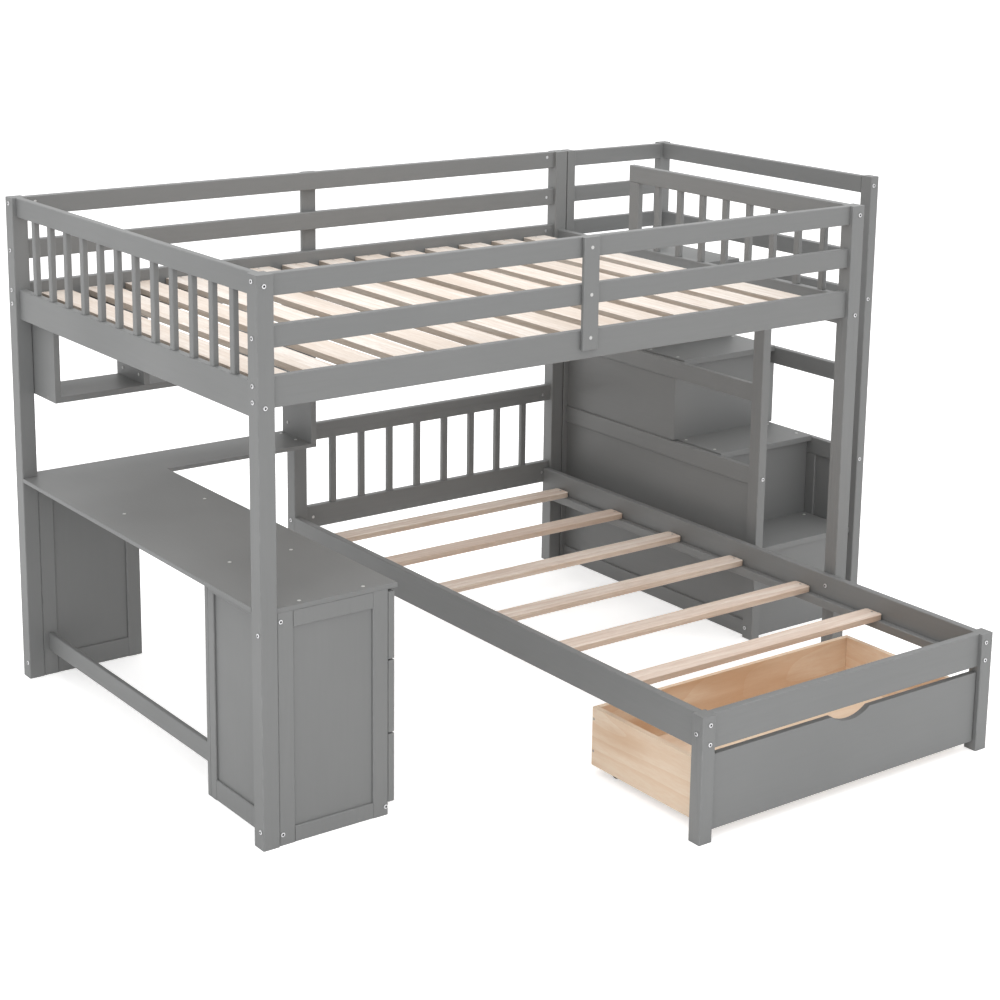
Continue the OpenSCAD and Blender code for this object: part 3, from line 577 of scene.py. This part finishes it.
def dress(node, material, ease):
    """Gives a node its finish and rounds its edges: triangles joined, flats made whole, then bevelled."""
    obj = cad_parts[node]
    obj.data.materials.clear()
    obj.data.materials.append(material)
    obj.modifiers.new("join", "WELD").merge_threshold = 1e-5
    flat = obj.modifiers.new("flats", "DECIMATE")
    flat.decimate_type = "DISSOLVE"
    flat.angle_limit = math.radians(1)
    edge = obj.modifiers.new("ease", "BEVEL")
    edge.width = ease * MM
    edge.segments = 2
    edge.limit_method = "ANGLE"
    edge.angle_limit = math.radians(SHARP_OVER)


for axis, names in RUNS.items():
    for name in names.split():
        dress(name, (BOARD if name in FLAT_BOARDS else PAINT)[axis], PAINTED_EASE)
for name in PLYWOOD:
    dress(name, BOX_PLY, PLYWOOD_EASE)
for name in STEEL:
    dress(name, ZINC, STEEL_EASE)


# ---- slats ----
OFF_SQUARE = 0.05      # degrees: the most that a slat lies off square


def slats(node, name, finish, seed, ease, corner=0.0):
    """Planed slats in place of the CAD ones, each a little off square as such slats are."""
    draw = random.Random(seed)
    boxes = boxes_of(node)
    low, high = boxes[0]
    shape = rounded_board(f"{name} shape", (high - low) / MM, ease, corner)
    spots = []
    for low, high in boxes:
        skew = math.radians(draw.uniform(-OFF_SQUARE, OFF_SQUARE))
        spots.append((0, (low + high) / 2, Quaternion((0, 0, 1), skew), AS_MADE))
    obj = lay_out(name, [shape], spots, finish, seed=seed)
    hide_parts(node)
    return boxes


LOFT_SLATS = slats("loft_slats", "planed_loft_slats", SLAT_PINE, seed=4, ease=2.2)
LOW_SLATS = slats("lower_slats", "planed_lower_slats", LOW_PINE, seed=7, ease=2.5, corner=9.0)


# ---- fastenings ----
BOLT_HEAD = 2.5                # how far a bolt's head stands out of its rail
SCREW_IN = 12.0                # from a slat's end to its screw
NUT_LENGTH, NUT_RADIUS, NUT_EDGE = 15.0, 5.0, 0.5      # the edge is the chamfer round each end
NUT_SLOT = (12, 1.4, 2.4)      # across, wide, and twice its depth
WHEEL_WIDE = 12.0
SHELF_SCREWS = (52, 146)       # back from the lower shelf's front edge
SHELF_SCREW_UP = 8.5           # up that shelf's end
BOX_SCREWS = (0.25, 0.8)       # shares of the rolling box's height
BOX_SCREW_IN = 7.0             # forward from its back wall's outer face

# The cover caps' places. Those on the desk top go right and back from its near left corner.
DESK_CAPS = ((127, 377), (311, 376), (124, 23), (311, 23), (90, 908), (344, 912))
WING_CAPS = ((33, 118), (33, 28))      # left, forward from the wing's far corner
TREAD_CAPS_IN = (17, 23)               # in from the treads' left and right ends
TREAD_CAPS = ((16, 188), (50, 190), (52, 188), (36, 366))      # back from each tread's front edge
BATTEN_CAPS = (28, 154, 270)           # down from the guard batten's top
END_BOARD_CAPS = ((144, 39),)          # back, up from the end board's near lower corner
DIVIDER_CAPS = ((32, 26), (136, 26))   # back, up from the divider's near lower corner
UPRIGHT_OFF = 1.0                      # from the end board's and the divider's face to their caps' seats


def head_sign(solid, axis):
    """1 where a bolt's head is at the high end of its axis, -1 where it is at the low end."""
    low, high = corners(solid)
    middle = (low + high) / 2

    def wide(end):
        face = [p for p in solid if abs(p[axis] - end) < 1e-5]
        return max(abs(p[i] - middle[i]) for p in face for i in range(3) if i != axis)

    return 1 if wide(high[axis]) > wide(low[axis]) else -1


def bolts():
    """Socket bolts with a hexagon hole and a threaded shank, where the CAD has plain ones."""
    head = lathe("bolt head",
                 rounds((3.0, 0), (5.8, 0), (6.0, 0.5), (6.0, 1.5), (5.6, 2.2), (4.8, BOLT_HEAD))
                 + hexes((2.9, BOLT_HEAD), (2.6, 2.2), (2.5, 0.6)))
    # The shank is 1 mm long and drawn out to each bolt's length, with its thread on the far half.
    turns, pitch, start = 20, 0.024, 0.51
    thread = []
    for k in range(turns):
        thread += [(2.7, start + k * pitch), (3.0, start + (k + 0.5) * pitch)]
    shank = lathe("bolt shank", rounds((3.0, 0), (3.0, 0.5), *thread, (2.4, 1.0)), around=12)
    draw = random.Random(11)
    spots = []
    for solid in solids_of("assembly_bolts"):
        low, high = corners(solid)
        axis = long_axis(high - low)
        sign = head_sign(solid, axis)
        seat = (low + high) / 2
        seat[axis] = (high[axis] if sign > 0 else low[axis]) - sign * BOLT_HEAD * MM
        length = (high[axis] - low[axis]) / MM - BOLT_HEAD
        spots.append((0, seat, facing(axis, sign, draw.uniform(0, 1)), AS_MADE))
        spots.append((1, seat, facing(axis, -sign), (1, 1, length)))
    obj = lay_out("socket_bolts", [head, shank], spots, ZINC)
    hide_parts("assembly_bolts")


def nuts():
    """Barrel nuts with a screwdriver slot in each end."""
    half = NUT_LENGTH / 2
    barrel = lathe("barrel nut", rounds((NUT_RADIUS - NUT_EDGE, -half), (NUT_RADIUS, -half + NUT_EDGE),
                                        (NUT_RADIUS, half - NUT_EDGE), (NUT_RADIUS - NUT_EDGE, half)))
    slots = []
    for end in (-half, half):
        slot = rounded_board("slot", NUT_SLOT, 0.1)
        slot.location.z = end * MM
        slots.append(slot)
    bpy.context.view_layer.update()
    cut(barrel, *slots)
    spots = [(0, (low + high) / 2, facing(long_axis(high - low)), AS_MADE)
             for low, high in boxes_of("barrel_nuts")]
    obj = lay_out("slotted_barrel_nuts", [barrel], spots, ZINC)
    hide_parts("barrel_nuts")


def dark_screws(name, spots, body="bed"):
    """Countersunk screws, each given as its place and the turn of its axis."""
    screw = lathe("screw", rounds((1.6, -9.0), (1.6, -2.6), (3.6, -0.5), (3.8, 0.0), (3.4, 0.35))
                  + hexes((1.3, 0.35), (1.1, -1.2)), around=12)
    obj = lay_out(name, [screw], [(0, place, turn, AS_MADE) for place, turn in spots], SCREW, body=body)


def slat_screws():
    """One near each end of every slat."""
    spots = []
    for boxes, axis in ((LOFT_SLATS, 1), (LOW_SLATS, 0)):
        for low, high in boxes:
            for end, way in ((low, 1), (high, -1)):
                place = (low + high) / 2
                place[axis] = end[axis] + way * SCREW_IN * MM
                place.z = high.z
                spots.append((place, facing(2, 1, 0.3 * len(spots))))
    dark_screws("slat_screws", spots)


def shelf_screws():
    """Two through the left end board into the lower shelf."""
    board, _ = by_low("hutch_end_boards", 0)[0]
    shelf, _ = by_low("hutch_shelves", 2)[0]
    z = shelf.z + SHELF_SCREW_UP * MM
    dark_screws("shelf_screws", [(Vector((board.x, shelf.y + back * MM, z)), facing(0, -1, 0.2))
                                 for back in SHELF_SCREWS])


def box_screws():
    """Two through each side of the rolling box into its back wall."""
    low, high = corners([corner for box in boxes_of("rolling_drawer_box") for corner in box])
    spots = []
    for x, sign in ((low.x, -1), (high.x, 1)):
        for share in BOX_SCREWS:
            z = low.z + share * (high.z - low.z)
            spots.append((Vector((x, high.y - BOX_SCREW_IN * MM, z)), facing(0, sign, 0.4)))
    dark_screws("box_screws", spots, "rolling_drawer")


def cover_caps():
    """Low press-in caps over the screws that hold the desk top, the treads, the shelves and a batten."""
    cap = lathe("cover cap", rounds((4.6, -0.4), (5.0, 0.0), (4.9, 0.5), (4.2, 0.9), (2.4, 1.15)), around=20)
    spots = []

    def put_cap(axis, sign, x, y, z):
        spots.append((0, Vector((x, y, z)), facing(axis, sign), AS_MADE))

    desk_low, desk_high = boxes_of("desk_top")[0]
    for right, back in DESK_CAPS:
        put_cap(2, 1, desk_low.x + right * MM, desk_low.y + back * MM, desk_high.z)
    for (low, high), places in zip(by_low("stair_treads", 1), TREAD_CAPS):
        for x in (low.x + TREAD_CAPS_IN[0] * MM, high.x - TREAD_CAPS_IN[1] * MM):
            for back in places:
                put_cap(2, 1, x, low.y + back * MM, high.z)
    low, high = by_low("guard_battens", 1)[0]
    for down in BATTEN_CAPS:
        put_cap(1, -1, (low.x + high.x) / 2, low.y, high.z - down * MM)
    for left, forward in WING_CAPS:
        put_cap(2, 1, desk_high.x - left * MM, desk_high.y - forward * MM, desk_high.z)
    for (low, _), places in ((by_low("hutch_end_boards", 0)[1], END_BOARD_CAPS),
                             (by_low("hutch_dividers", 0)[0], DIVIDER_CAPS)):
        for back, up in places:
            put_cap(0, -1, low.x - UPRIGHT_OFF * MM, low.y + back * MM, low.z + up * MM)
    obj = lay_out("cover_caps", [cap], spots, CAP)


def casters():
    """Wheels with a rounded tread, a recessed disc and a hub, on their own bodies."""
    inner = rounds((2.6, 0.6), (4.6, 0.0), (5.2, 1.6), (12.4, 2.0), (13.2, 0.6), (15.4, 0.3), (16.6, 1.6),
                   (17.0, 3.6))
    outer = [(kind, radius, WHEEL_WIDE - height) for kind, radius, height in reversed(inner)]
    for end in ("front", "rear"):
        node = f"caster_wheels_{end}"
        wheel = lathe("wheel", inner + outer, around=40, closed=True)
        spots = []
        for low, high in boxes_of(node):
            middle = (low + high) / 2
            spots.append((0, Vector((low.x, middle.y, middle.z)), facing(0), AS_MADE))
        obj = lay_out(f"treaded_wheels_{end}", [wheel], spots, BLACK, body=f"{end}_wheels")
        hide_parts(node)


bolts()
nuts()
slat_screws()
shelf_screws()
box_screws()
cover_caps()
casters()


# ---- camera, light and floor ----
EYE = (-2399, -4209, 2385)                     # millimetres from the foot of the loft's near left post
YAW, PITCH, ROLL = 36.45, -12.84, 0.74         # degrees: from +Y towards +X, upwards, to the side
SENSOR, LENS, LENS_SHIFT = 36.0, 75.58, -0.15
GLOW = 0.95                    # of the white world, on the bed
FLOOR_REACH = 60.0             # metres
FLOOR_GLOW = 0.5               # where the floor is seen or mirrored


def camera(scene):
    yaw, pitch, roll = (math.radians(v) for v in (YAW, PITCH, ROLL))
    ahead = Vector((math.sin(yaw) * math.cos(pitch), math.cos(yaw) * math.cos(pitch), math.sin(pitch)))
    right = Vector((math.cos(yaw), -math.sin(yaw), 0.0))
    up = right.cross(ahead)
    side = right * math.cos(roll) + up * math.sin(roll)
    top = up * math.cos(roll) - right * math.sin(roll)
    data = bpy.data.cameras.new("camera")
    data.sensor_width = SENSOR
    data.lens = LENS
    data.shift_y = LENS_SHIFT
    obj = bpy.data.objects.new("camera", data)
    scene.collection.objects.link(obj)
    foot, _ = boxes_of("loft_post_front_left")[0]
    axes = Matrix((side, top, -ahead)).transposed().to_4x4()
    obj.matrix_world = Matrix.Translation(foot + Vector(EYE) * MM) @ axes
    scene.camera = obj


def lamp(scene, name, at, aim, size, watts):
    light = bpy.data.lights.new(name, "AREA")
    light.shape = "SQUARE"
    light.size = size
    light.energy = watts
    obj = bpy.data.objects.new(name, light)
    scene.collection.objects.link(obj)
    obj.location = at
    obj.rotation_euler = (Vector(aim) - Vector(at)).to_track_quat("-Z", "Y").to_euler()


def seen_or_mirrored(tree):
    rays = tree.nodes.new("ShaderNodeLightPath").outputs
    return calc(tree, "MAXIMUM", rays["Is Camera Ray"], rays["Is Glossy Ray"])


def white_world(scene):
    world = bpy.data.worlds.new("studio")
    world.use_nodes = True
    scene.world = world
    tree = world.node_tree
    tree.nodes.clear()
    out = tree.nodes.new("ShaderNodeOutputWorld")
    glow = put(tree, "ShaderNodeBackground", None, Color=(1, 1, 1, 1), Strength=GLOW)
    white = put(tree, "ShaderNodeBackground", None, Color=(1, 1, 1, 1), Strength=1.0)
    both = put(tree, "ShaderNodeMixShader", None, i0=seen_or_mirrored(tree), i1=glow.outputs[0],
               i2=white.outputs[0])
    tree.links.new(both.outputs[0], out.inputs[0])


def white_floor(scene):
    r = FLOOR_REACH
    mesh = bpy.data.meshes.new("floor")
    mesh.from_pydata([(-r, -r, 0), (r, -r, 0), (r, r, 0), (-r, r, 0)], [], [(0, 1, 2, 3)])
    floor = bpy.data.objects.new("floor", mesh)
    scene.collection.objects.link(floor)
    m, t, skin = new_material("white floor")
    cloud = noise(t, object_spot(t), 0.7)
    t.links.new(mix(t, cloud, (0.93, 0.93, 0.93), (0.95, 0.95, 0.95)), skin.inputs["Base Color"])
    skin.inputs["Roughness"].default_value = 0.8
    skin.inputs["Emission Color"].default_value = (1, 1, 1, 1)
    t.links.new(calc(t, "MULTIPLY", seen_or_mirrored(t), FLOOR_GLOW), skin.inputs["Emission Strength"])
    mesh.materials.append(m)


def studio():
    scene = bpy.context.scene
    camera(scene)
    lamp(scene, "key from the left", at=(-4.5, -4.0, 4.6), aim=(0.0, 0.0, 0.5), size=3.5, watts=60)
    lamp(scene, "fill from the front", at=(2.5, -6.0, 2.6), aim=(0.2, 0.0, 0.6), size=4.0, watts=30)
    lamp(scene, "top", at=(0.0, 0.5, 5.2), aim=(0.0, 0.3, 0.0), size=4.5, watts=110)
    white_world(scene)
    white_floor(scene)
    scene.view_settings.view_transform = "Standard"


studio()
